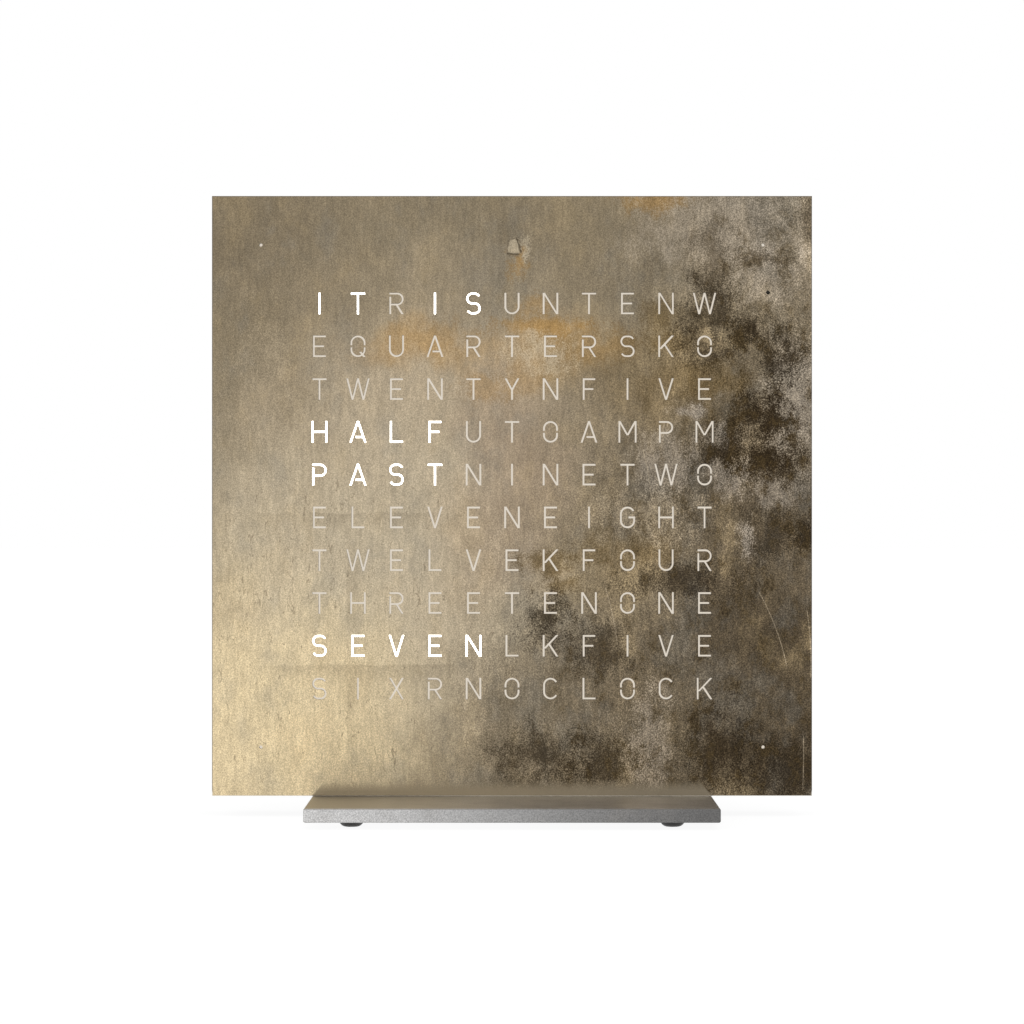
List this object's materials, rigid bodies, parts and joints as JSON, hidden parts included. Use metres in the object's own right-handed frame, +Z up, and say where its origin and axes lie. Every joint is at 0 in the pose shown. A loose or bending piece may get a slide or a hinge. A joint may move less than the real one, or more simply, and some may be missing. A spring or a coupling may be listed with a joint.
{
  "type": "word clock",
  "caption": "Square desk clock with a patinated steel face cut through with letters that light up as words, on a flat steel base plate with rubber feet.",
  "frame": {"origin": "on the surface that the clock stands on, under the middle of the base plate", "axes": "+X to the viewer's right, +Y to the back, +Z up; the face looks along -Y"},
  "size_m": [0.135, 0.09, 0.1396],
  "materials": {
    "base_steel": "fine bead-blasted stainless steel",
    "cover_steel": "steel sheet with a gilded, patinated face",
    "zinc_steel": "zinc-plated steel",
    "brass": "turned brass",
    "nickel": "nickel plate",
    "foot_rubber": "moulded black rubber",
    "housing_plastic": "fine-textured black moulding",
    "button_plastic": "satin dark grey moulding",
    "grid_plastic": "white moulding",
    "diffuser_film": "white translucent sheet",
    "circuit_board": "green solder mask",
    "led_plastic": "white LED body with a yellow window",
    "chip_plastic": "black epoxy",
    "sensor_resin": "dark clear resin",
    "can_aluminium": "drawn aluminium can",
    "resistor_ceramic": "glazed resistor body"
  },
  "bodies": {
    "clock": {"base_plate": "base_steel", "base_feet": "foot_rubber", "base_screws": "zinc_steel", "base_inserts": "brass", "cover_magnets": "nickel", "rear_housing": "housing_plastic", "frame_inserts": "brass", "frame_screws": "zinc_steel", "light_grid": "grid_plastic", "diffuser_sheet": "diffuser_film", "led_board": "circuit_board", "leds": "led_plastic", "light_sensor": "sensor_resin", "controller_chip": "chip_plastic", "led_drivers": "chip_plastic", "clock_crystal": "can_aluminium", "power_regulator": "chip_plastic", "capacitors": "can_aluminium", "resistors": "resistor_ceramic", "buzzer": "chip_plastic", "cell_holder": "chip_plastic", "coin_cell": "nickel", "cell_clip": "nickel", "power_socket": "nickel", "socket_tongue": "chip_plastic", "key_switches": "chip_plastic", "switch_domes": "nickel"},
    "cover": {"front_cover": "cover_steel", "cover_studs": "zinc_steel"},
    "hour_key": {"hour_button": "button_plastic"},
    "minute_key": {"minute_button": "button_plastic"},
    "mode_key": {"mode_button": "button_plastic"}
  },
  "joints": [
    {"name": "cover_pull", "type": "slide", "parent": "clock", "child": "cover", "axis": [0, -1, 0], "range_m": [0, 0.03]},
    {"name": "hour_press", "type": "slide", "parent": "clock", "child": "hour_key", "axis": [0, -1, 0], "range_m": [0, 0.0005], "stiffness_N_per_m": 800, "springref_m": -0.001},
    {"name": "minute_press", "type": "slide", "parent": "clock", "child": "minute_key", "axis": [0, -1, 0], "range_m": [0, 0.0005], "stiffness_N_per_m": 800, "springref_m": -0.001},
    {"name": "mode_press", "type": "slide", "parent": "clock", "child": "mode_key", "axis": [0, -1, 0], "range_m": [0, 0.0005], "stiffness_N_per_m": 800, "springref_m": -0.001}
  ]
}
